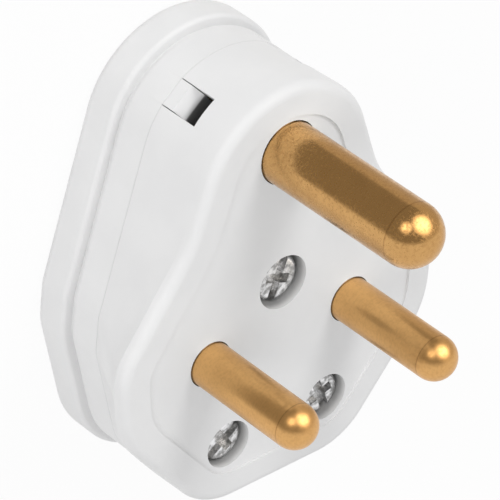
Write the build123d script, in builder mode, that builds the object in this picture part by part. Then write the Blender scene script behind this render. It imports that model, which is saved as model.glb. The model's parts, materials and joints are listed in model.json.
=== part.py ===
from build123d import *
from math import acos, atan2, degrees, hypot
import os

# A rewirable three-pin plug with solid round pins, lying on its flat back with the pins up.
# X runs across the plug, Y from the cord end to the earth pin end, Z from the back to the pin tips.
# The origin lies under the middle of the outline, on the back face. All sizes are in millimetres.

# Pins: diameters, lengths out of the face, spacing
EARTH_DIA = 7.06
POLE_DIA = 5.08
EARTH_REACH = 21.85
POLE_REACH = 15.75
POLE_SPACING = 19.05
EARTH_TO_POLES = 22.22
PIN_SHOULDER = 0.8
PIN_HOLE_GAP = 0.12

# Heights from the back face
BACK_WALL = 2.2
FLANGE_TOP = 4.5
GROOVE_TOP = 5.0
SEAM_Z = 9.1
FACE_EDGE_Z = 18.2
PANEL_Z = 19.4
RIM_STEP = 0.3
FACE_PLATE = 3.0

# Outlines, as half widths and distances below the earth pin
SEAM_HALF_WIDTH = 16.4
SEAM_LENGTH = 41.85
FACE_HALF_WIDTH = 21.45
FACE_LENGTH = 41.0
HEAD_DROP = 3.3
SEAM_HEAD_R = 10.8
SEAM_NECK = (12.6, 7.7)
SEAM_SHOULDER = (SEAM_HALF_WIDTH - 0.3, 19.35)
SEAM_HIP = (SEAM_HALF_WIDTH, 23.7)
SEAM_FOOT = (12.3, SEAM_LENGTH)
SEAM_ROUNDS = (14, 5, 5, 9.8)
FACE_HEAD_R = 11.05
FACE_NECK = (12.8, 6.7)
FACE_SHOULDER = (FACE_HALF_WIDTH, 18.85)
FACE_HIP = (FACE_HALF_WIDTH - 0.5, 27.7)
FACE_FOOT = (9.85, FACE_LENGTH)
FACE_ROUNDS = (13, 6.6, 11, 8.2)
FLARE_RISE = 0.5
FLARE_SHARE = 0.38
PANEL_INSET = 3.5
FLANGE_OUT = 0.9
GROOVE_DEPTH = 0.35

# Walls and edges
WALL = 2.0
FACE_ROUND = 1.1
BACK_ROUND = 1.2
FLANGE_ROUND = 0.5
SKIRT_ROUND = 0.3
SEAM_ROUND = 0.15
LIP_GAP = 0.25
LIP_THICK = 0.9
LIP_RISE = 1.5
LIP_ROOT = 2.0

# Snap windows at the two shoulders of the head, and the tongues in them
WINDOW_ANGLE = 40.5
WINDOW_WIDTH = 3.44
WINDOW_RISE = 5.2
TONGUE_GAP = 0.1
TONGUE_RISE = 2.75
TONGUE_FLUSH = 0.1
TONGUE_STRAIGHT = 1.6
TONGUE_SINK = 1.3

# Inner ends of the pins
COLLAR_THICK = 1.2
COLLAR_STEP = 1.3
EARTH_HEAD_DIA = 8.2
POLE_HEAD_DIA = 7.2
HEAD_Z = 5.2
WIRE_HOLE_DIA = 3.2
WIRE_HOLE_RISE = 3.3
POST_WALL = 0.9

# Terminal screws
TERMINAL_DIA = 3.0
TERMINAL_HEAD_DIA = 4.4
TERMINAL_HEAD = 1.6
TERMINAL_TIP_GAP = 0.1

# Screws in the face: one in the middle for the cover, two for the cord grip
COVER_SCREW_DROP = 16.0
COVER_SCREW_DIA = 3.5
COVER_SCREW_HEAD_DIA = 5.4
COVER_RECESS_DIA = 6.3
GRIP_SCREW_X = 6.75
GRIP_SCREW_DROP = 33.85
GRIP_SCREW_DIA = 3.0
GRIP_SCREW_HEAD_DIA = 4.9
GRIP_RECESS_DIA = 5.6
SCREW_HEAD = 1.9
SCREW_SUNK = 0.9
SCREW_EDGE = 0.5
DRIVE_WIDTH = 1.1
DRIVE_DEPTH = 0.9
DRIVE_SHORT = 3.1
THREAD_GAP = 0.04
SHANK_GAP = 0.25
TIP_RISE = 0.2
BOSS_WALL = 1.7

# Threaded insert of the cover screw, nuts and bar of the cord grip
INSERT_DIA = 5.2
INSERT_LENGTH = 5.5
INSERT_FLOOR_GAP = 0.3
NUT_FLATS = 5.5
NUT_THICK = 1.8
NUT_GAP = 0.1
GRIP_THICK = 2.6
GRIP_WIDTH = 7.6
GRIP_OVERHANG = 4.2
GRIP_TOP_Z = 5.4
CORD_DIA = 6.6
CORD_ENTRY_DIA = 7.2
SADDLE_RIB = 1.2
SADDLE_PITCH = 3.6
DIVIDER_LENGTH = 9.0
DIVIDER_THICK = 1.2
DIVIDER_Z = 9.4

# Places that follow from the sizes above
BELOW_EARTH = max(FACE_LENGTH, SEAM_LENGTH + FLANGE_OUT)
ABOVE_EARTH = max(FACE_HEAD_R, SEAM_HEAD_R + FLANGE_OUT) - HEAD_DROP
EARTH_Y = (BELOW_EARTH - ABOVE_EARTH) / 2
POLE_Y = EARTH_Y - EARTH_TO_POLES
HEAD_Y = EARTH_Y - HEAD_DROP
COVER_SCREW_Y = EARTH_Y - COVER_SCREW_DROP
GRIP_SCREW_Y = EARTH_Y - GRIP_SCREW_DROP
CORD_END_Y = EARTH_Y - BELOW_EARTH
CORD_ENTRY_LENGTH = GRIP_SCREW_Y - GRIP_SCREW_DIA / 2 - BOSS_WALL - CORD_END_Y
RIM_Z = PANEL_Z + RIM_STEP
PLATE_Z = PANEL_Z - FACE_PLATE
SCREW_SEAT_Z = PANEL_Z - SCREW_SUNK - SCREW_HEAD
GRIP_BOTTOM_Z = GRIP_TOP_Z - GRIP_THICK
COVER_SCREW_LENGTH = SCREW_SEAT_Z - (SEAM_Z - INSERT_LENGTH + TIP_RISE)
GRIP_SCREW_LENGTH = SCREW_SEAT_Z - (GRIP_BOTTOM_Z + TIP_RISE)
LIP_INSET = WALL + LIP_GAP + LIP_THICK
GRIP_SCREWS = ((-GRIP_SCREW_X, GRIP_SCREW_Y), (GRIP_SCREW_X, GRIP_SCREW_Y))
STANDING = (Align.CENTER, Align.CENTER, Align.MIN)
PINS = {
    "earth": (0, EARTH_Y, EARTH_DIA / 2, EARTH_REACH, EARTH_HEAD_DIA / 2),
    "line": (-POLE_SPACING / 2, POLE_Y, POLE_DIA / 2, POLE_REACH, POLE_HEAD_DIA / 2),
    "neutral": (POLE_SPACING / 2, POLE_Y, POLE_DIA / 2, POLE_REACH, POLE_HEAD_DIA / 2),
}

os.makedirs("parts", exist_ok=True)


# Outlines

def outline(height, head_r, corners, rounds, grow=0):
    """Face of the closed outline: a round head, then a neck, shoulder, hip and foot on each side."""
    neck, *lower = [(x, EARTH_Y - drop) for x, drop in corners]
    reach = hypot(neck[0], neck[1] - HEAD_Y)
    lean = atan2(neck[1] - HEAD_Y, neck[0]) + acos(head_r / reach)
    with BuildSketch(Plane.XY.offset(height)) as shape:
        with BuildLine():
            head = CenterArc((0, HEAD_Y), head_r, degrees(lean), 90 - degrees(lean))
            FilletPolyline(head @ 0, neck, *lower, (0, lower[-1][1]), radius=rounds)
            mirror(about=Plane.YZ)
        make_face()
        if grow:
            offset(amount=grow)
    return shape.sketch


def seam_outline(height, grow=0):
    corners = (SEAM_NECK, SEAM_SHOULDER, SEAM_HIP, SEAM_FOOT)
    return outline(height, SEAM_HEAD_R, corners, SEAM_ROUNDS, grow)


def face_outline(height, grow=0):
    corners = (FACE_NECK, FACE_SHOULDER, FACE_HIP, FACE_FOOT)
    return outline(height, FACE_HEAD_R, corners, FACE_ROUNDS, grow)


def flare_outline(grow=0):
    """Outline part of the way up the flare, nearer to the seam's outline than to the face's."""
    seam_corners = (SEAM_NECK, SEAM_SHOULDER, SEAM_HIP, SEAM_FOOT)
    face_corners = (FACE_NECK, FACE_SHOULDER, FACE_HIP, FACE_FOOT)
    corners = [(blend(a[0], b[0]), blend(a[1], b[1])) for a, b in zip(seam_corners, face_corners)]
    rounds = [blend(a, b) for a, b in zip(SEAM_ROUNDS, FACE_ROUNDS)]
    height = SEAM_Z + FLARE_RISE * (FACE_EDGE_Z - SEAM_Z)
    return outline(height, blend(SEAM_HEAD_R, FACE_HEAD_R), corners, rounds, grow)


def blend(at_seam, at_face):
    return at_seam + FLARE_SHARE * (at_face - at_seam)


def window_plane(side):
    """Plane on the head's axis: x points out through the window, y up, z along the wall."""
    out = Vector(0, 1, 0).rotate(Axis.Z, -side * WINDOW_ANGLE)
    return Plane((0, HEAD_Y, 0), x_dir=out, z_dir=out.cross(Vector(0, 0, 1)))


# Front body: a flared shell with the face plate, closed towards the pins and open at the back

with BuildPart() as front_body:
    loft([seam_outline(SEAM_Z), flare_outline(), face_outline(FACE_EDGE_Z)])
    extrude(face_outline(FACE_EDGE_Z), amount=RIM_Z - FACE_EDGE_Z)
    fillet(front_body.faces().sort_by(Axis.Z)[-1].edges(), radius=FACE_ROUND)
    extrude(face_outline(PANEL_Z, -PANEL_INSET), amount=RIM_STEP, mode=Mode.SUBTRACT)
    cavity = [seam_outline(SEAM_Z, -WALL), flare_outline(-WALL), face_outline(PLATE_Z, -WALL)]
    loft(cavity, ruled=True, mode=Mode.SUBTRACT)

    # Long bosses of the cord grip, the boss of the cover screw, and the divider between the poles
    with BuildSketch(Plane.XY.offset(PLATE_Z)):
        with Locations(*GRIP_SCREWS):
            Circle(GRIP_SCREW_DIA / 2 + BOSS_WALL)
    extrude(amount=GRIP_TOP_Z - PLATE_Z)
    with BuildSketch(Plane.XY.offset(PLATE_Z)):
        with Locations((0, COVER_SCREW_Y)):
            Circle(INSERT_DIA / 2 + BOSS_WALL)
    extrude(amount=SEAM_Z - PLATE_Z)
    with BuildSketch(Plane.XY.offset(PLATE_Z)):
        with Locations((0, COVER_SCREW_Y - INSERT_DIA / 2)):
            Rectangle(DIVIDER_THICK, DIVIDER_LENGTH, align=(Align.CENTER, Align.MAX))
    extrude(amount=DIVIDER_Z - PLATE_Z)

    # Saddle ribs that the cord is pressed against
    with BuildSketch(Plane.XY.offset(PLATE_Z)):
        with Locations((0, GRIP_SCREW_Y)):
            with GridLocations(0, SADDLE_PITCH, 1, 2):
                Rectangle(2 * GRIP_SCREW_X, SADDLE_RIB)
    extrude(amount=GRIP_TOP_Z + CORD_DIA - PLATE_Z)

    # Screw recesses and shank holes
    with Locations((0, COVER_SCREW_Y, RIM_Z)):
        CounterBoreHole(
            COVER_SCREW_DIA / 2 + SHANK_GAP, COVER_RECESS_DIA / 2, RIM_Z - SCREW_SEAT_Z, RIM_Z - SEAM_Z
        )
    with Locations(*[(x, y, RIM_Z) for x, y in GRIP_SCREWS]):
        CounterBoreHole(
            GRIP_SCREW_DIA / 2 + SHANK_GAP, GRIP_RECESS_DIA / 2, RIM_Z - SCREW_SEAT_Z, RIM_Z - GRIP_TOP_Z
        )

    # Pin holes, coned just under the face so that the shoulders of the pins can't pass
    for x, y, pin_r, reach, head_r in PINS.values():
        mouth_r = pin_r + PIN_HOLE_GAP
        shoulder_r = mouth_r + PIN_SHOULDER
        with Locations((x, y, PANEL_Z - PIN_SHOULDER)):
            Cone(shoulder_r, mouth_r, PIN_SHOULDER, align=STANDING, mode=Mode.SUBTRACT)
        with Locations((x, y, PLATE_Z)):
            Cylinder(shoulder_r, FACE_PLATE - PIN_SHOULDER, align=STANDING, mode=Mode.SUBTRACT)

    # Snap windows, open at the seam
    for side in (-1, 1):
        with BuildSketch(window_plane(side)):
            with Locations((SEAM_HEAD_R - WALL - LIP_GAP, SEAM_Z)):
                Rectangle(2 * WALL, WINDOW_RISE, align=Align.MIN)
        extrude(amount=WINDOW_WIDTH / 2, both=True, mode=Mode.SUBTRACT)

    # Front half of the cord entry
    with BuildSketch(Plane.XZ.offset(-CORD_END_Y)):
        with Locations((0, SEAM_Z)):
            Circle(CORD_ENTRY_DIA / 2)
    extrude(amount=-CORD_ENTRY_LENGTH, mode=Mode.SUBTRACT)
front_body.part.label = "front_body"
export_step(front_body.part, "parts/front_body.step")


# Rear cover: flat back, flange, shadow groove and skirt, with a lip inside the front body

with BuildPart() as rear_cover:
    extrude(seam_outline(0, FLANGE_OUT), amount=FLANGE_TOP)
    extrude(seam_outline(GROOVE_TOP), amount=SEAM_Z - GROOVE_TOP)
    for level, radius in enumerate((BACK_ROUND, FLANGE_ROUND, SKIRT_ROUND, SEAM_ROUND)):
        fillet(rear_cover.faces().filter_by(Plane.XY).sort_by(Axis.Z)[level].edges(), radius=radius)
    extrude(seam_outline(FLANGE_TOP, -GROOVE_DEPTH), amount=GROOVE_TOP - FLANGE_TOP)
    extrude(seam_outline(BACK_WALL, -WALL), amount=SEAM_Z - BACK_WALL, mode=Mode.SUBTRACT)

    # Locating lip: its root is fused to the wall below the seam
    extrude(seam_outline(SEAM_Z - LIP_ROOT, -WALL), amount=LIP_ROOT)
    extrude(seam_outline(SEAM_Z, -WALL - LIP_GAP), amount=LIP_RISE)
    extrude(
        seam_outline(SEAM_Z - LIP_ROOT, -LIP_INSET), amount=LIP_ROOT + LIP_RISE, mode=Mode.SUBTRACT
    )

    # Notches in the lip for the long bosses of the cord grip
    with BuildSketch(Plane.XY.offset(BACK_WALL)):
        with Locations(*GRIP_SCREWS):
            Circle(GRIP_SCREW_DIA / 2 + BOSS_WALL + LIP_GAP)
    extrude(amount=SEAM_Z + LIP_RISE - BACK_WALL, mode=Mode.SUBTRACT)

    # Boss of the threaded insert
    with BuildSketch(Plane.XY.offset(BACK_WALL)):
        with Locations((0, COVER_SCREW_Y)):
            Circle(INSERT_DIA / 2 + BOSS_WALL)
    extrude(amount=SEAM_Z - BACK_WALL)
    with Locations((0, COVER_SCREW_Y, SEAM_Z)):
        Hole(INSERT_DIA / 2, INSERT_LENGTH + INSERT_FLOOR_GAP)

    # Hollow posts that hold the pins down, clear of the terminal screws
    for x, y, pin_r, reach, head_r in PINS.values():
        with BuildSketch(Plane.XY.offset(BACK_WALL)):
            with Locations((x, y)):
                Circle(head_r)
                Circle(head_r - POST_WALL, mode=Mode.SUBTRACT)
        extrude(amount=HEAD_Z - BACK_WALL)

    # Snap tongues: flush with the wall at the seam, sinking towards the pins
    for side in (-1, 1):
        with BuildSketch(window_plane(side)):
            with BuildLine():
                Polyline(
                    (SEAM_HEAD_R - LIP_INSET, SEAM_Z - LIP_ROOT),
                    (SEAM_HEAD_R - LIP_INSET, SEAM_Z + TONGUE_RISE),
                    (SEAM_HEAD_R - TONGUE_SINK, SEAM_Z + TONGUE_RISE),
                    (SEAM_HEAD_R - TONGUE_FLUSH, SEAM_Z + TONGUE_STRAIGHT),
                    (SEAM_HEAD_R - TONGUE_FLUSH, SEAM_Z - LIP_ROOT),
                    close=True,
                )
            make_face()
        extrude(amount=WINDOW_WIDTH / 2 - TONGUE_GAP, both=True)

    # Rear half of the cord entry
    with BuildSketch(Plane.XZ.offset(-CORD_END_Y)):
        with Locations((0, SEAM_Z)):
            Circle(CORD_ENTRY_DIA / 2)
    extrude(amount=-CORD_ENTRY_LENGTH, mode=Mode.SUBTRACT)
rear_cover.part.label = "rear_cover"
export_step(rear_cover.part, "parts/rear_cover.step")


# Pins: turned from solid bar, with a coned shoulder just inside the hole, a collar under the face
# plate and a drilled terminal head

for name, (x, y, pin_r, reach, head_r) in PINS.items():
    shank_r = pin_r + PIN_SHOULDER
    dome_z = PANEL_Z + reach - pin_r
    wire_z = HEAD_Z + WIRE_HOLE_RISE
    with BuildPart() as pin:
        with BuildSketch(Plane((x, y, 0), x_dir=(1, 0, 0), z_dir=(0, -1, 0))):
            with BuildLine():
                Polyline(
                    (0, dome_z + pin_r),
                    (0, HEAD_Z),
                    (head_r, HEAD_Z),
                    (head_r, PLATE_Z - COLLAR_THICK),
                    (pin_r + COLLAR_STEP, PLATE_Z - COLLAR_THICK),
                    (pin_r + COLLAR_STEP, PLATE_Z),
                    (shank_r, PLATE_Z),
                    (shank_r, PANEL_Z - PIN_SHOULDER),
                    (pin_r, PANEL_Z),
                    (pin_r, dome_z),
                )
                CenterArc((0, dome_z), pin_r, 0, 90)
            make_face()
        revolve(axis=Axis((x, y, 0), (0, 0, 1)))
        with BuildSketch(Plane.YZ.offset(x)):
            with Locations((y, wire_z)):
                Circle(WIRE_HOLE_DIA / 2)
        extrude(amount=head_r, both=True, mode=Mode.SUBTRACT)
        with BuildSketch(Plane.XY.offset(HEAD_Z)):
            with Locations((x, y)):
                Circle(TERMINAL_DIA / 2 + THREAD_GAP)
        extrude(amount=WIRE_HOLE_RISE, mode=Mode.SUBTRACT)
    pin.part.label = name + "_pin"
    export_step(pin.part, "parts/" + name + "_pin.step")

    # Terminal screw, driven from the back, its tip at the wire hole
    with BuildPart() as terminal_screw:
        with BuildSketch(Plane.XY.offset(HEAD_Z)):
            with Locations((x, y)):
                Circle(TERMINAL_HEAD_DIA / 2)
        extrude(amount=-TERMINAL_HEAD)
        with BuildSketch(Plane.XY.offset(HEAD_Z)):
            with Locations((x, y)):
                Circle(TERMINAL_DIA / 2)
        extrude(amount=WIRE_HOLE_RISE - WIRE_HOLE_DIA / 2 + TERMINAL_TIP_GAP)
        with BuildSketch(Plane.XY.offset(HEAD_Z - TERMINAL_HEAD)):
            with Locations((x, y)):
                Rectangle(TERMINAL_HEAD_DIA, DRIVE_WIDTH)
        extrude(amount=DRIVE_DEPTH, mode=Mode.SUBTRACT)
    terminal_screw.part.label = name + "_terminal_screw"
    export_step(terminal_screw.part, "parts/" + name + "_terminal_screw.step")


# Screws in the face: cheese heads with a slot and a shorter cross slot

def face_screw(x, y, dia, head_dia, length, turn):
    """Screw seated in its recess, with the slot turned by some degrees from the X direction."""
    with BuildPart() as screw:
        with BuildSketch(Plane.XY.offset(SCREW_SEAT_Z)):
            with Locations((x, y)):
                Circle(head_dia / 2)
        extrude(amount=SCREW_HEAD)
        fillet(screw.faces().sort_by(Axis.Z)[-1].edges(), radius=SCREW_EDGE)
        with BuildSketch(Plane.XY.offset(SCREW_SEAT_Z)):
            with Locations((x, y)):
                Circle(dia / 2)
        extrude(amount=-length)
        with BuildSketch(Plane.XY.offset(SCREW_SEAT_Z + SCREW_HEAD)):
            with Locations(Location((x, y, 0), (0, 0, turn))):
                Rectangle(head_dia, DRIVE_WIDTH)
                Rectangle(DRIVE_WIDTH, DRIVE_SHORT)
        extrude(amount=-DRIVE_DEPTH, mode=Mode.SUBTRACT)
    return screw.part


SCREWS = {
    "cover_screw": (0, COVER_SCREW_Y, COVER_SCREW_DIA, COVER_SCREW_HEAD_DIA, COVER_SCREW_LENGTH, 70),
    "left_grip_screw": (*GRIP_SCREWS[0], GRIP_SCREW_DIA, GRIP_SCREW_HEAD_DIA, GRIP_SCREW_LENGTH, 35),
    "right_grip_screw": (*GRIP_SCREWS[1], GRIP_SCREW_DIA, GRIP_SCREW_HEAD_DIA, GRIP_SCREW_LENGTH, 110),
}
for name, sizes in SCREWS.items():
    screw = face_screw(*sizes)
    screw.label = name
    export_step(screw, "parts/" + name + ".step")


# Brass threaded insert in the rear cover

with BuildPart() as cover_insert:
    with BuildSketch(Plane.XY.offset(SEAM_Z - INSERT_LENGTH)):
        with Locations((0, COVER_SCREW_Y)):
            Circle(INSERT_DIA / 2)
            Circle(COVER_SCREW_DIA / 2 + THREAD_GAP, mode=Mode.SUBTRACT)
    extrude(amount=INSERT_LENGTH)
cover_insert.part.label = "cover_insert"
export_step(cover_insert.part, "parts/cover_insert.step")


# Cord grip: a bar across the two long bosses, with a hexagon pocket for each nut

with BuildPart() as cord_grip:
    with BuildSketch(Plane.XY.offset(GRIP_BOTTOM_Z)):
        with Locations((0, GRIP_SCREW_Y)):
            SlotOverall(2 * (GRIP_SCREW_X + GRIP_OVERHANG), GRIP_WIDTH)
    extrude(amount=GRIP_THICK)
    with Locations(*[(x, y, GRIP_TOP_Z) for x, y in GRIP_SCREWS]):
        Hole(GRIP_SCREW_DIA / 2 + SHANK_GAP, GRIP_THICK)
    with BuildSketch(Plane.XY.offset(GRIP_BOTTOM_Z)):
        with Locations(*GRIP_SCREWS):
            RegularPolygon(NUT_FLATS / 2 + NUT_GAP, 6, major_radius=False)
    extrude(amount=NUT_THICK, mode=Mode.SUBTRACT)
cord_grip.part.label = "cord_grip"
export_step(cord_grip.part, "parts/cord_grip.step")

for name, place in zip(("left_grip_nut", "right_grip_nut"), GRIP_SCREWS):
    with BuildPart() as nut:
        with BuildSketch(Plane.XY.offset(GRIP_BOTTOM_Z)):
            with Locations(place):
                RegularPolygon(NUT_FLATS / 2, 6, major_radius=False)
                Circle(GRIP_SCREW_DIA / 2 + THREAD_GAP, mode=Mode.SUBTRACT)
        extrude(amount=NUT_THICK)
    nut.part.label = name
    export_step(nut.part, "parts/" + name + ".step")
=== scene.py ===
import json

import bpy
from mathutils import Matrix, Vector

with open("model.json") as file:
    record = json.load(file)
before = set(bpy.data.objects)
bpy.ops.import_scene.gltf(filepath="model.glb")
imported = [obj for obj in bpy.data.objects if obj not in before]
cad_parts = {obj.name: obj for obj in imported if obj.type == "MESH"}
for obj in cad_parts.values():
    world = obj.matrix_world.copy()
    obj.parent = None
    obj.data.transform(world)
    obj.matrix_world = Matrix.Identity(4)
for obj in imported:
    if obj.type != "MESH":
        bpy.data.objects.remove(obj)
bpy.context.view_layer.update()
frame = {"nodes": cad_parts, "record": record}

bl_info = {
    "name": "Three-Pin Plug",
    "version": (1, 0, 0),
    "blender": (4, 5, 0),
    "location": "3D View > Sidebar > Plug",
    "description": "Finishes for a rewirable plug with solid round pins, and its studio stage",
    "category": "Object",
}

MM = 0.001
WHITE = (1.0, 1.0, 1.0, 1.0)
NODES = frame["nodes"]
MOUNTS = {mount["name"]: mount for mount in frame["record"]["mounts"]}
FACE_SCREWS = ("cover_screw", "left_grip_screw", "right_grip_screw")

# The round head's middle lies HEAD_DROP below the earth pin. The inner sides of its walls lie within
# HEAD_INSIDE of that middle, above BACK_HEIGHT and below PLATE_LOW, the underside of the face plate.
# The shells get painted shade on those inner walls: a dark colour standing in for the shadow in the cavity
# behind the snap windows.
HEAD_DROP = 3.3 * MM
HEAD_INSIDE = 9.2 * MM
BACK_HEIGHT = 2 * MM
PLATE_LOW = 16.4 * MM

# The painted shade on the wall round a face screw, standing in for the shadow in its recess: its reach
# beyond the head, its depth, and the depth where it starts to fade towards the face
RECESS_MARGIN = 0.5 * MM
RECESS_DEPTH = 3.2 * MM
RECESS_FADE = 1 * MM

# Fine lines: half their width, and how far the one at a pin's foot lies under the face. The seam line
# and the line at a pin's foot are painted shade
SEAM_WIDTH = 0.16 * MM
TIP_RING_WIDTH = 0.14 * MM
FOOT_WIDTH = 0.25 * MM
FOOT_DROP = 0.1 * MM

# Noise levels: half the soft edge of a cloud, where turning marks come and go, and where they darken
CLOUD_EDGE = 0.16
DRIFT_RANGE = (0.35, 0.65)
MARK_RANGE = (0.4, 0.65)

# Shares of a surface that its clouds cover
EVEN_AMOUNT = 0.5
PATCH_AMOUNT = 0.45

# Sizes of one texture as multiples of another
DRIFT_PITCHES = 14.0
HAZE_TO_MOTTLE = 0.6
PATCH_TO_GRAIN = 1.6
WAVE_TO_GRAIN = 3
WAVE_TO_GRAIN_HEIGHT = 2

# How far the mask of the Inside effect fades outwards
INSIDE_SPREAD = 0.8 * MM

# The stage: a lamp's place, from the origin, and its width, in metres
LAMPS = {
    "key": {"place": (0.19, 0.68, 0.56), "size": 0.4},
    "edge": {"place": (-0.575, 0.775, 0.277), "size": 0.26},
    "fill": {"place": (-0.52, 0.04, 0.3), "size": 0.5},
}
# A lamp as the metal sees it: its place, and the cosine of the angle to it at which its glow starts
GLOWS = {
    "key": {"place": (0.24, 0.68, 0.54), "start": 0.8},
    "edge": {"place": LAMPS["edge"]["place"], "start": 0.93},
}
# The room as the metal sees it: half the blur between its parts, and how its right side is turned
NEAR_BLUR = 0.06
SIDE_BLUR = 0.04
SIDE_TURN = 0.73
# The floor lies just under the plug's flat back, so that the two faces don't coincide
FLOOR_REACH = 1.5
FLOOR_HEIGHT = -0.05 * MM
FLOOR_ROUGHNESS = 0.9
# Nearest distance that the camera sees
CLIP_START = 0.01


def pin_base(pin):
    """Middle of a pin where it leaves the face, in metres."""
    mount = MOUNTS[pin]
    base = Vector(mount["pos_m"])
    base.z -= mount["dims"]["length_mm"] * MM / 2
    return base


def pin_shoulder(pin):
    """Height at which a pin's rounded tip starts, in metres."""
    mount = MOUNTS[pin]
    return mount["pos_m"][2] + mount["dims"]["length_mm"] * MM / 2


def screw_head(screw):
    """Middle and radius of a face screw's head as seen from above, in metres."""
    corners = [NODES[screw].matrix_world @ Vector(corner) for corner in NODES[screw].bound_box]
    middle = sum(corners, Vector()) / len(corners)
    return middle, max(corner.x for corner in corners) - middle.x


SEAM_HEIGHT = MOUNTS["cord_entry"]["pos_m"][2]
HEAD_AXIS = (0.0, MOUNTS["earth_pin"]["pos_m"][1] - HEAD_DROP)
FACE_HEIGHT = pin_base("earth_pin").z


# Settings that a user would change

def number(name, description, default, **limits):
    return bpy.props.FloatProperty(name=name, description=description, default=default, min=0, **limits)


def triple(name, description, default, subtype, **limits):
    return bpy.props.FloatVectorProperty(
        name=name, description=description, default=default, size=3, subtype=subtype, **limits
    )


def colour(name, description, default):
    return triple(name, description, default, "COLOR", min=0, max=1)


def share(name, description, default):
    return number(name, description, default, max=1, subtype="FACTOR")


def length(name, description, default):
    return number(name, description, default, precision=5, unit="LENGTH")


def power(name, description, default):
    return number(name, description, default, unit="POWER")


class PlugPlastic(bpy.types.PropertyGroup):
    white: colour("White", "Moulded white of the shells", (0.86, 0.86, 0.862))
    shade: colour("Shade", "Slightly greyer white that mottles the shells", (0.835, 0.835, 0.838))
    # Painted shade: the seam grey stands in for the shadow in the gap between the shells.
    seam_shade: colour("Seam dirt", "Grey that gathers in the seam between the shells", (0.36, 0.36, 0.355))
    seam_share: share("Seam share", "How much of that grey shows", 0.2)
    # Painted shade: a dark colour for the walls deep inside the head, standing in for the shadow there.
    inside: colour("Inside", "Darkness of the walls deep inside", (0.14, 0.14, 0.14))
    # Painted shade: the grey at the foot of the walls round the screws stands in for the shadow in their
    # recesses.
    recess_shade: colour("Recess", "Grey at the foot of the walls round the screws", (0.46, 0.46, 0.458))
    gloss: share("Gloss roughness", "Roughness of the polished patches", 0.36)
    haze: share("Haze roughness", "Roughness of the hazy patches", 0.46)
    shine: share("Shine", "Strength of the reflections in the plastic", 0.28)
    mottle_size: length("Mottle size", "Width of the patches in the white", 7 * MM)
    wave_size: length("Wave size", "Width of the soft waves in the moulding", 8 * MM)
    wave_height: length("Wave height", "Height of the soft waves", 0.007 * MM)
    peel_size: length("Peel size", "Width of the fine skin texture", 0.5 * MM)
    peel_height: length("Peel height", "Height of the fine skin texture", 0.0012 * MM)
    grip_white: colour("Grip white", "Matt white of the cord grip", (0.72, 0.72, 0.69))
    grip_shade: colour("Grip shade", "Greyer white that mottles the cord grip", (0.648, 0.648, 0.621))
    grip_gloss: share("Grip gloss roughness", "Roughness of the cord grip's smoother patches", 0.5)
    grip_haze: share("Grip haze roughness", "Roughness of the cord grip's rougher patches", 0.62)


class PlugBrass(bpy.types.PropertyGroup):
    bright: colour("Bright", "Clean brass of the earth pin", (0.71, 0.408, 0.155))
    pole_bright: colour("Pole bright", "Clean brass of the poles", (0.8, 0.46, 0.175))
    aged: colour("Aged", "Brown tarnish on the brass", (0.36, 0.17, 0.055))
    # Painted shadow: the dark line at a pin's foot stands in for the shade in the gap round the pin.
    foot: colour("Foot", "Dark line where a pin enters the face", (0.06, 0.035, 0.02))
    bounce: colour("Bounce", "Light that the pins throw on the white face", (0.9, 0.88, 0.86))
    polish: share("Polish roughness", "Roughness of clean brass on the earth pin", 0.17)
    pole_polish: share("Pole polish roughness", "Roughness of clean brass on the poles", 0.3)
    dull: share("Dull roughness", "Roughness of the dark grains", 0.38)
    tarnish_size: length("Tarnish size", "Width of the tarnish clouds", 3.5 * MM)
    tarnish: share("Tarnish", "How much of the brass is clouded", 0.42)
    speck_size: length("Speck size", "Width of the dark grains", 0.3 * MM)
    mark_pitch: length("Mark pitch", "Distance between turning marks", 0.16 * MM)
    mark_height: length("Mark height", "Height of the turning marks", 0.0011 * MM)
    cloud_age: share("Cloud age", "How brown the tarnish clouds are", 0.14)
    speck_age: share("Speck age", "How brown the dark grains are", 0.14)
    mark_age: share("Mark age", "How brown the turning marks are", 0.08)
    ring_age: share("Ring age", "How brown the fine ring is where a pin's tip starts", 0.5)


class PlugZinc(bpy.types.PropertyGroup):
    bright: colour("Bright", "Clean zinc plating", (0.93, 0.93, 0.935))
    dull: colour("Dull", "Grey patches in the plating", (0.38, 0.38, 0.38))
    polish: share("Polish roughness", "Roughness of clean plating", 0.26)
    worn: share("Worn roughness", "Roughness of the grey patches", 0.5)
    grain_size: length("Grain size", "Width of the plating's grain", 0.4 * MM)
    grain_height: length("Grain height", "Height of the plating's grain", 0.008 * MM)


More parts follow.
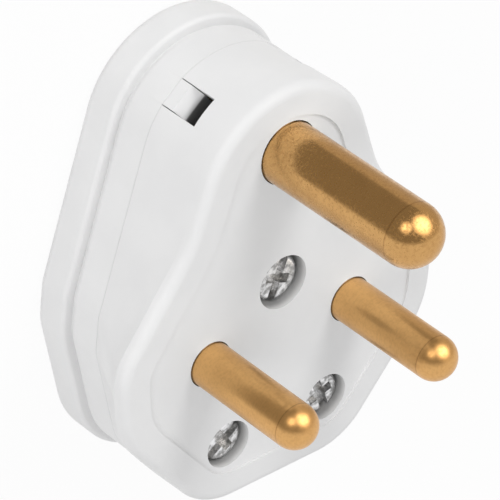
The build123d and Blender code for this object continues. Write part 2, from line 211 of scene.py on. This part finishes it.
class PlugStage(bpy.types.PropertyGroup):
    floor: colour("Floor", "Colour of the floor", (0.86, 0.86, 0.86))
    floor_shadow: share("Floor shadow", "How much of the shadow shows on the white floor", 0.06)
    world_level: number("World level", "Strength of the even light from all round", 0.618)
    world_tilt: share("World tilt", "How much stronger that light is at the far side", 0.08)
    table_level: share("Table level", "How bright the studio's near half looks in the metal", 0.88)
    room_level: share("Room level", "How bright the studio's far half looks in the metal", 0.3)
    room_tint: colour("Room tint", "Warm colour of the studio's far half in the metal", (1.0, 0.94, 0.85))
    side_level: share("Side level", "How bright the far half's right side looks in the metal", 0.58)
    key_glow: number("Key glow", "How bright the key lamp looks in the metal", 3.4)
    edge_glow: number("Edge glow", "How bright the edge lamp looks in the metal", 2.4)
    key_power: power("Key power", "Power of the large lamp beyond the head, on the right", 2.15)
    edge_power: power("Edge power", "Power of the small lamp beyond the head, on the left", 0.5)
    fill_power: power("Fill power", "Power of the wide lamp on the left", 0.72)
    lens: bpy.props.FloatProperty(
        name="Lens", description="Focal length of the camera", default=297.6, min=1, unit="CAMERA"
    )
    camera_from_pin: triple(
        "Camera place",
        "Camera's place, measured from the foot of the earth pin",
        (-0.234148, 0.228655, 0.260020),
        "TRANSLATION",
    )
    camera_right: triple(
        "Camera right",
        "Direction that points right in the picture",
        (0.76336, 0.03084, 0.64524),
        "DIRECTION",
    )
    camera_up: triple(
        "Camera up",
        "Direction that points up in the picture",
        (0.34673, 0.82321, -0.44955),
        "DIRECTION",
    )


# Building blocks for materials

def plug_in(tree, node, socket, value):
    """Gives an input, named or numbered, a value or a link from another node's socket."""
    if isinstance(value, bpy.types.NodeSocket):
        tree.links.new(value, node.inputs[socket])
    else:
        node.inputs[socket].default_value = value


def add(tree, kind, **inputs):
    """New node with the named inputs; an underscore stands for a space."""
    node = tree.nodes.new(kind)
    for name, value in inputs.items():
        plug_in(tree, node, name.replace("_", " "), value)
    return node


def maths(tree, operation, first, second=0.0, clamp=False):
    node = tree.nodes.new("ShaderNodeMath")
    node.operation = operation
    node.use_clamp = clamp
    for socket, value in enumerate((first, second)):
        plug_in(tree, node, socket, value)
    return node.outputs[0]


def remap(tree, value, low, high, to_low=0.0, to_high=1.0):
    """Smooth step of a value from one range to another."""
    node = add(tree, "ShaderNodeMapRange", Value=value)
    node.interpolation_type = "SMOOTHSTEP"
    for name, limit in (("From Min", low), ("From Max", high), ("To Min", to_low), ("To Max", to_high)):
        plug_in(tree, node, name, limit)
    return node.outputs["Result"]


def mix_colour(tree, factor, first, second):
    """Mix of two colours, which are inputs 6 and 7 of the node."""
    node = tree.nodes.new("ShaderNodeMix")
    node.data_type = "RGBA"
    for socket, value in ((0, factor), (6, first), (7, second)):
        plug_in(tree, node, socket, value)
    return node.outputs[2]


def mix_surface(tree, factor, first, second):
    node = tree.nodes.new("ShaderNodeMixShader")
    for socket, value in enumerate((factor, first, second)):
        plug_in(tree, node, socket, value)
    return node.outputs[0]


def opaque(rgb):
    return (*rgb, 1.0)


def coordinates(tree):
    """Object coordinates, which are the plug's own metres."""
    return tree.nodes.new("ShaderNodeTexCoord").outputs["Object"]


def split(tree, vector):
    return add(tree, "ShaderNodeSeparateXYZ", Vector=vector).outputs


def noise(tree, vector, size, detail, roughness=0.5):
    node = add(tree, "ShaderNodeTexNoise", Vector=vector, Detail=detail, Roughness=roughness)
    plug_in(tree, node, "Scale", maths(tree, "DIVIDE", 1.0, size))
    return node.outputs["Fac"]


def looked_at(tree):
    """One where the camera, a reflection or a clear body looks at the background."""
    path = tree.nodes.new("ShaderNodeLightPath").outputs
    mirrored = maths(tree, "ADD", path["Is Glossy Ray"], path["Is Transmission Ray"], clamp=True)
    return maths(tree, "ADD", path["Is Camera Ray"], mirrored, clamp=True)


# Effects that several materials share

def effect_group(name, inputs, outputs):
    """Shader group with named number inputs and outputs, still without nodes between them."""
    tree = bpy.data.node_groups.new(name, "ShaderNodeTree")
    for socket, default in inputs.items():
        made = tree.interface.new_socket(socket, in_out="INPUT", socket_type="NodeSocketFloat")
        made.default_value = default
    for socket in outputs:
        tree.interface.new_socket(socket, in_out="OUTPUT", socket_type="NodeSocketFloat")
    return tree, tree.nodes.new("NodeGroupInput").outputs, tree.nodes.new("NodeGroupOutput")


def mottle_group():
    """Soft clouds, for mottled colour and gloss."""
    tree, given, out = effect_group("Mottle", {"Size": 7 * MM, "Amount": EVEN_AMOUNT}, ["Mask"])
    cloud = noise(tree, coordinates(tree), given["Size"], detail=4.0)
    centre = maths(tree, "SUBTRACT", 1.0, given["Amount"])
    low = maths(tree, "SUBTRACT", centre, CLOUD_EDGE)
    high = maths(tree, "ADD", centre, CLOUD_EDGE)
    tree.links.new(remap(tree, cloud, low, high), out.inputs["Mask"])
    return tree


def waves_group():
    """Soft waves and a fine grain, as a height in millimetres."""
    sizes = {"Wave Size": 8 * MM, "Wave Height": 0.02, "Peel Size": 0.5 * MM, "Peel Height": 0.001}
    tree, given, out = effect_group("Moulded Waves", sizes, ["Height"])
    vector = coordinates(tree)
    wave = noise(tree, vector, given["Wave Size"], detail=1.0)
    peel = noise(tree, vector, given["Peel Size"], detail=2.0)
    high = maths(tree, "MULTIPLY", wave, given["Wave Height"])
    fine = maths(tree, "MULTIPLY", peel, given["Peel Height"])
    tree.links.new(maths(tree, "ADD", high, fine), out.inputs["Height"])
    return tree


def turning_group():
    """Fine rings left by turning round an upright axis, with their height in millimetres."""
    sizes = {"Pitch": 0.16 * MM, "Depth": 0.001}
    tree, given, out = effect_group("Turning Marks", sizes, ["Height", "Mask"])
    vector = coordinates(tree)
    rings = add(tree, "ShaderNodeCombineXYZ", X=0.0, Y=0.0, Z=split(tree, vector)["Z"])
    mark = noise(tree, rings.outputs[0], given["Pitch"], detail=3.0, roughness=0.7)
    drift = noise(tree, vector, maths(tree, "MULTIPLY", given["Pitch"], DRIFT_PITCHES), detail=2.0)
    strength = remap(tree, drift, *DRIFT_RANGE)
    height = maths(tree, "MULTIPLY", maths(tree, "MULTIPLY", mark, given["Depth"]), strength)
    tree.links.new(height, out.inputs["Height"])
    tree.links.new(remap(tree, mark, *MARK_RANGE), out.inputs["Mask"])
    return tree


def ring_group():
    """Thin line all round at one height."""
    tree, given, out = effect_group("Ring Line", {"Level": 30 * MM, "Width": 0.2 * MM}, ["Mask"])
    height = split(tree, coordinates(tree))["Z"]
    off = maths(tree, "ABSOLUTE", maths(tree, "SUBTRACT", height, given["Level"]))
    tree.links.new(remap(tree, off, 0.0, given["Width"], 1.0, 0.0), out.inputs["Mask"])
    return tree


def inside_group():
    """Everything nearer than a given distance to an upright axis, between two heights.

    The mask fades out over INSIDE_SPREAD outwards, and over the given fade below its top.
    """
    sizes = {
        "Axis X": 0.0,
        "Axis Y": 0.0,
        "Distance": 10 * MM,
        "Bottom": 0.0,
        "Top": 20 * MM,
        "Fade": 0.2 * MM,
    }
    tree, given, out = effect_group("Inside", sizes, ["Mask"])
    at = split(tree, coordinates(tree))
    x = maths(tree, "SUBTRACT", at["X"], given["Axis X"])
    y = maths(tree, "SUBTRACT", at["Y"], given["Axis Y"])
    squares = maths(tree, "ADD", maths(tree, "MULTIPLY", x, x), maths(tree, "MULTIPLY", y, y))
    end = maths(tree, "ADD", given["Distance"], INSIDE_SPREAD)
    near = remap(tree, maths(tree, "SQRT", squares), given["Distance"], end, 1.0, 0.0)
    full = maths(tree, "SUBTRACT", given["Top"], given["Fade"])
    low = remap(tree, at["Z"], full, given["Top"], 1.0, 0.0)
    above = maths(tree, "GREATER_THAN", at["Z"], given["Bottom"])
    tree.links.new(maths(tree, "MULTIPLY", maths(tree, "MULTIPLY", near, low), above), out.inputs["Mask"])
    return tree


EFFECTS = {
    "Mottle": mottle_group,
    "Moulded Waves": waves_group,
    "Turning Marks": turning_group,
    "Ring Line": ring_group,
    "Inside": inside_group,
}


def effect(tree, name, **values):
    """Outputs of an effect group placed in a material with its own values."""
    node = tree.nodes.new("ShaderNodeGroup")
    node.node_tree = bpy.data.node_groups.get(name) or EFFECTS[name]()
    for socket, value in values.items():
        plug_in(tree, node, socket.replace("_", " "), value)
    return node.outputs


# Materials

def new_material(name, viewport_colour):
    """Material with one surface shader; its tree and shader are returned too."""
    material = bpy.data.materials.new(name)
    material.use_nodes = True
    material.diffuse_color = opaque(viewport_colour)
    tree = material.node_tree
    return material, tree, tree.nodes["Principled BSDF"]


def bump(tree, shader, height):
    """Feeds the shader's normal from a height in millimetres."""
    node = add(tree, "ShaderNodeBump", Strength=1.0, Distance=MM, Height=height)
    tree.links.new(node.outputs["Normal"], shader.inputs["Normal"])


def moulded(tree, shader, plastic, colour_socket, gloss, haze):
    """Feeds a moulded surface's colour, its patches of gloss and haze, and its waves."""
    plug_in(tree, shader, "Base Color", colour_socket)
    patch = effect(tree, "Mottle", Size=plastic.mottle_size * HAZE_TO_MOTTLE, Amount=PATCH_AMOUNT)["Mask"]
    plug_in(tree, shader, "Roughness", remap(tree, patch, 0.0, 1.0, gloss, haze))
    waves = effect(
        tree,
        "Moulded Waves",
        Wave_Size=plastic.wave_size,
        Wave_Height=plastic.wave_height / MM,
        Peel_Size=plastic.peel_size,
        Peel_Height=plastic.peel_height / MM,
    )
    bump(tree, shader, waves["Height"])
    plug_in(tree, shader, "Specular IOR Level", plastic.shine)


def mottled(tree, plastic, light, shade):
    mask = effect(tree, "Mottle", Size=plastic.mottle_size, Amount=EVEN_AMOUNT)["Mask"]
    return mix_colour(tree, mask, opaque(light), opaque(shade))


def grip_material(name, plastic):
    """Matt moulded plastic of the cord grip."""
    material, tree, shader = new_material(name, plastic.grip_white)
    body = mottled(tree, plastic, plastic.grip_white, plastic.grip_shade)
    moulded(tree, shader, plastic, body, plastic.grip_gloss, plastic.grip_haze)
    return material


def shell_material(name, plastic):
    """Glossy moulded plastic, with painted shade along the seam, on the walls deep inside and on the walls
    round the face screws.
    """
    material, tree, shader = new_material(name, plastic.white)
    body = mottled(tree, plastic, plastic.white, plastic.shade)
    # Painted shade: a grey line along the seam stands in for the shadow in the gap between the shells.
    seam = effect(tree, "Ring Line", Level=SEAM_HEIGHT, Width=SEAM_WIDTH)["Mask"]
    painted_shade = maths(tree, "MULTIPLY", seam, plastic.seam_share)
    body = mix_colour(tree, painted_shade, body, opaque(plastic.seam_shade))
    # Painted shade: the walls deep inside the head are darkened, standing in for the shadow in the cavity
    # behind the snap windows.
    deep = effect(
        tree,
        "Inside",
        Axis_X=HEAD_AXIS[0],
        Axis_Y=HEAD_AXIS[1],
        Distance=HEAD_INSIDE,
        Bottom=BACK_HEIGHT,
        Top=PLATE_LOW,
    )
    body = mix_colour(tree, deep["Mask"], body, opaque(plastic.inside))
    # Painted shade: the wall round each face screw is greyed towards its foot, standing in for the shadow
    # in the recess.
    for screw in FACE_SCREWS:
        middle, radius = screw_head(screw)
        recess_shade_mask = effect(
            tree,
            "Inside",
            Axis_X=middle.x,
            Axis_Y=middle.y,
            Distance=radius + RECESS_MARGIN,
            Bottom=FACE_HEIGHT - RECESS_DEPTH,
            Top=FACE_HEIGHT,
            Fade=RECESS_FADE,
        )
        body = mix_colour(tree, recess_shade_mask["Mask"], body, opaque(plastic.recess_shade))
    moulded(tree, shader, plastic, body, plastic.gloss, plastic.haze)
    return material


def brass_material(name, brass, bright, polish, tip_height=None):
    """Turned brass; a pin also has a fine ring where its tip starts and a painted shadow line at its foot.
    """
    material, tree, shader = new_material(name, bright)
    clouds = effect(tree, "Mottle", Size=brass.tarnish_size, Amount=brass.tarnish)["Mask"]
    specks = effect(tree, "Mottle", Size=brass.speck_size, Amount=PATCH_AMOUNT)["Mask"]
    marks = effect(tree, "Turning Marks", Pitch=brass.mark_pitch, Depth=brass.mark_height / MM)
    layers = [(specks, brass.speck_age), (marks["Mask"], brass.mark_age)]
    if tip_height is not None:
        ring = effect(tree, "Ring Line", Level=tip_height, Width=TIP_RING_WIDTH)["Mask"]
        layers.append((ring, brass.ring_age))
    age = maths(tree, "MULTIPLY", clouds, brass.cloud_age)
    for mask, strength in layers:
        age = maths(tree, "ADD", age, maths(tree, "MULTIPLY", mask, strength), clamp=True)
    metal = mix_colour(tree, age, opaque(bright), opaque(brass.aged))
    if tip_height is not None:
        # Painted shadow: a dark line just under the face stands in for the shade in the gap round the pin.
        foot = effect(tree, "Ring Line", Level=FACE_HEIGHT - FOOT_DROP, Width=FOOT_WIDTH)["Mask"]
        metal = mix_colour(tree, foot, metal, opaque(brass.foot))
    path = tree.nodes.new("ShaderNodeLightPath").outputs
    thrown = maths(tree, "ADD", path["Is Diffuse Ray"], path["Is Glossy Ray"], clamp=True)
    plug_in(tree, shader, "Base Color", mix_colour(tree, thrown, metal, opaque(brass.bounce)))
    plug_in(tree, shader, "Roughness", remap(tree, specks, 0.0, 1.0, polish, brass.dull))
    plug_in(tree, shader, "Metallic", 1.0)
    bump(tree, shader, marks["Height"])
    return material


def zinc_material(name, zinc):
    """Bright plating with a fine grain and grey, worn patches."""
    material, tree, shader = new_material(name, zinc.bright)
    patch = effect(tree, "Mottle", Size=zinc.grain_size * PATCH_TO_GRAIN, Amount=EVEN_AMOUNT)["Mask"]
    plug_in(tree, shader, "Base Color", mix_colour(tree, patch, opaque(zinc.bright), opaque(zinc.dull)))
    plug_in(tree, shader, "Roughness", remap(tree, patch, 0.0, 1.0, zinc.polish, zinc.worn))
    plug_in(tree, shader, "Metallic", 1.0)
    waves = effect(
        tree,
        "Moulded Waves",
        Wave_Size=zinc.grain_size * WAVE_TO_GRAIN,
        Wave_Height=zinc.grain_height * WAVE_TO_GRAIN_HEIGHT / MM,
        Peel_Size=zinc.grain_size,
        Peel_Height=zinc.grain_height / MM,
    )
    bump(tree, shader, waves["Height"])
    return material


def finish(piece, material):
    """Gives a piece its material."""
    for material_slot in NODES[piece].material_slots:
        material_slot.material = material


# Operators: one for each group of pieces, and one for the stage

class PLUG_OT_shells(bpy.types.Operator):
    """Finish the front body and the rear cover in glossy moulded white"""

    bl_idname = "plug.shells"
    bl_label = "Finish Shells"

    def execute(self, context):
        for piece in ("front_body", "rear_cover"):
            finish(piece, shell_material(piece + "_white", context.scene.plug_plastic))
        return {"FINISHED"}


class PLUG_OT_cord_grip(bpy.types.Operator):
    """Finish the cord grip in matt white"""

    bl_idname = "plug.cord_grip"
    bl_label = "Finish Cord Grip"

    def execute(self, context):
        finish("cord_grip", grip_material("grip_white", context.scene.plug_plastic))
        return {"FINISHED"}


class PLUG_OT_pins(bpy.types.Operator):
    """Finish the three pins in turned and lightly tarnished brass"""

    bl_idname = "plug.pins"
    bl_label = "Finish Pins"

    def execute(self, context):
        brass = context.scene.plug_brass
        earth_look = (brass.bright, brass.polish)
        pole_look = (brass.pole_bright, brass.pole_polish)
        for pin, look in (("earth_pin", earth_look), ("line_pin", pole_look), ("neutral_pin", pole_look)):
            finish(pin, brass_material(pin + "_brass", brass, *look, pin_shoulder(pin)))
        return {"FINISHED"}


class PLUG_OT_face_screws(bpy.types.Operator):
    """Finish the three screws in the face in bright zinc"""

    bl_idname = "plug.face_screws"
    bl_label = "Finish Face Screws"

    def execute(self, context):
        material = zinc_material("face_screw_zinc", context.scene.plug_zinc)
        for screw in FACE_SCREWS:
            finish(screw, material)
        return {"FINISHED"}


class PLUG_OT_inner_metal(bpy.types.Operator):
    """Finish the terminal screws, nuts and threaded insert"""

    bl_idname = "plug.inner_metal"
    bl_label = "Finish Inner Metal"

    def execute(self, context):
        zinc = zinc_material("inner_zinc", context.scene.plug_zinc)
        terminal_screws = ("earth_terminal_screw", "line_terminal_screw", "neutral_terminal_screw")
        for piece in (*terminal_screws, "left_grip_nut", "right_grip_nut"):
            finish(piece, zinc)
        brass = context.scene.plug_brass
        insert_brass = brass_material("insert_brass", brass, brass.bright, brass.polish)
        finish("cover_insert", insert_brass)
        return {"FINISHED"}


class PLUG_OT_stage(bpy.types.Operator):
    """Set up the floor, the light and the camera"""

    bl_idname = "plug.stage"
    bl_label = "Set Up Stage"

    def execute(self, context):
        scene, stage = context.scene, context.scene.plug_stage
        self.add_floor(scene, stage)
        self.add_world(scene, stage)
        for name, lamp in LAMPS.items():
            self.add_lamp(scene, name + "_lamp", getattr(stage, name + "_power"), **lamp)
        self.add_camera(scene, stage)
        scene.view_settings.view_transform = "Standard"
        return {"FINISHED"}

    def add_floor(self, scene, stage):
        """White floor with a faint shadow; the metal doesn't reflect it, and it is clear from below."""
        mesh = bpy.data.meshes.new("floor")
        sides = ((-1, -1), (1, -1), (1, 1), (-1, 1))
        corners = [(FLOOR_REACH * x, FLOOR_REACH * y, FLOOR_HEIGHT) for x, y in sides]
        mesh.from_pydata(corners, [], [(0, 1, 2, 3)])
        floor = bpy.data.objects.new("floor", mesh)
        scene.collection.objects.link(floor)
        material, tree, shader = new_material("floor_white", stage.floor)
        plug_in(tree, shader, "Base Color", opaque(stage.floor))
        plug_in(tree, shader, "Roughness", FLOOR_ROUGHNESS)
        white = add(tree, "ShaderNodeEmission", Color=WHITE, Strength=1.0)
        whitened = maths(tree, "MULTIPLY", looked_at(tree), 1 - stage.floor_shadow)
        surface = mix_surface(tree, whitened, shader.outputs[0], white.outputs[0])
        clear = tree.nodes.new("ShaderNodeBsdfTransparent")
        from_below = tree.nodes.new("ShaderNodeNewGeometry").outputs["Backfacing"]
        sided = mix_surface(tree, from_below, surface, clear.outputs[0])
        tree.links.new(sided, tree.nodes["Material Output"].inputs["Surface"])
        mesh.materials.append(material)
        floor.visible_glossy = False

    def add_world(self, scene, stage):
        """Even light on the object, white for the camera, and a studio for the metal to reflect."""
        world = bpy.data.worlds.new("studio")
        world.use_nodes = True
        scene.world = world
        tree = world.node_tree
        background = tree.nodes["Background"]
        direction = tree.nodes.new("ShaderNodeTexCoord").outputs["Generated"]
        away = split(tree, direction)
        glossy = tree.nodes.new("ShaderNodeLightPath").outputs["Is Glossy Ray"]
        tilt = maths(tree, "ADD", maths(tree, "MULTIPLY", away["Y"], stage.world_tilt), 1.0)
        even = maths(tree, "MULTIPLY", tilt, stage.world_level)
        studio = self.studio_level(tree, stage, direction, away)
        dimmed = maths(tree, "MULTIPLY", glossy, maths(tree, "SUBTRACT", 1.0, studio))
        seen = maths(tree, "SUBTRACT", 1.0, dimmed)
        plug_in(tree, background, "Strength", remap(tree, looked_at(tree), 0.0, 1.0, even, seen))
        warm = maths(tree, "MULTIPLY", glossy, remap(tree, away["Y"], -NEAR_BLUR, NEAR_BLUR))
        plug_in(tree, background, "Color", mix_colour(tree, warm, WHITE, opaque(stage.room_tint)))

    def studio_level(self, tree, stage, direction, away):
        """Bright near half, dark far half with a lighter right side, and the glows of two lamps."""
        turned = maths(tree, "SUBTRACT", away["X"], maths(tree, "MULTIPLY", away["Y"], SIDE_TURN))
        far = remap(tree, turned, -SIDE_BLUR, SIDE_BLUR, stage.room_level, stage.side_level)
        studio = remap(tree, away["Y"], -NEAR_BLUR, NEAR_BLUR, stage.table_level, far)
        for name, glow in GLOWS.items():
            facing = tree.nodes.new("ShaderNodeVectorMath")
            facing.operation = "DOT_PRODUCT"
            for socket, value in enumerate((direction, Vector(glow["place"]).normalized())):
                plug_in(tree, facing, socket, value)
            level = getattr(stage, name + "_glow")
            light = remap(tree, facing.outputs["Value"], glow["start"], 1.0, 0.0, level)
            studio = maths(tree, "ADD", studio, light)
        return studio

    def add_lamp(self, scene, name, energy, place, size):
        """Round soft lamp that points at the origin; the world shows it to the metal instead."""
        lamp = bpy.data.lights.new(name, "AREA")
        lamp.shape = "DISK"
        lamp.size = size
        lamp.energy = energy
        carrier = bpy.data.objects.new(name, lamp)
        carrier.location = place
        carrier.rotation_euler = (-Vector(place)).to_track_quat("-Z", "Y").to_euler()
        carrier.visible_glossy = False
        scene.collection.objects.link(carrier)

    def add_camera(self, scene, stage):
        camera = bpy.data.cameras.new("camera")
        camera.lens = stage.lens
        camera.clip_start = CLIP_START
        carrier = bpy.data.objects.new("camera", camera)
        right, up = Vector(stage.camera_right).normalized(), Vector(stage.camera_up).normalized()
        turn = Matrix((right, up, right.cross(up))).transposed().to_4x4()
        place = pin_base("earth_pin") + Vector(stage.camera_from_pin)
        carrier.matrix_world = Matrix.Translation(place) @ turn
        scene.collection.objects.link(carrier)
        scene.camera = carrier


class PLUG_PT_panel(bpy.types.Panel):
    """Lists the plug's operators and settings"""

    bl_idname = "PLUG_PT_panel"
    bl_label = "Three-Pin Plug"
    bl_space_type = "VIEW_3D"
    bl_region_type = "UI"
    bl_category = "Plug"

    def draw(self, context):
        for operator in OPERATORS:
            self.layout.operator(operator.bl_idname)
        for name in SETTINGS:
            group = getattr(context.scene, name)
            box = self.layout.box()
            for item in group.bl_rna.properties:
                if item.identifier not in ("rna_type", "name"):
                    box.prop(group, item.identifier)


SETTINGS = {
    "plug_plastic": PlugPlastic,
    "plug_brass": PlugBrass,
    "plug_zinc": PlugZinc,
    "plug_stage": PlugStage,
}
OPERATORS = (
    PLUG_OT_shells,
    PLUG_OT_cord_grip,
    PLUG_OT_pins,
    PLUG_OT_face_screws,
    PLUG_OT_inner_metal,
    PLUG_OT_stage,
)


def register():
    for name, group in SETTINGS.items():
        bpy.utils.register_class(group)
        setattr(bpy.types.Scene, name, bpy.props.PointerProperty(type=group))
    for item in (*OPERATORS, PLUG_PT_panel):
        bpy.utils.register_class(item)


def unregister():
    for item in reversed((*OPERATORS, PLUG_PT_panel)):
        bpy.utils.unregister_class(item)
    for name, group in reversed(SETTINGS.items()):
        delattr(bpy.types.Scene, name)
        bpy.utils.unregister_class(group)


def main():
    register()
    bpy.ops.plug.shells()
    bpy.ops.plug.cord_grip()
    bpy.ops.plug.pins()
    bpy.ops.plug.face_screws()
    bpy.ops.plug.inner_metal()
    bpy.ops.plug.stage()


if __name__ == "__main__":
    main()
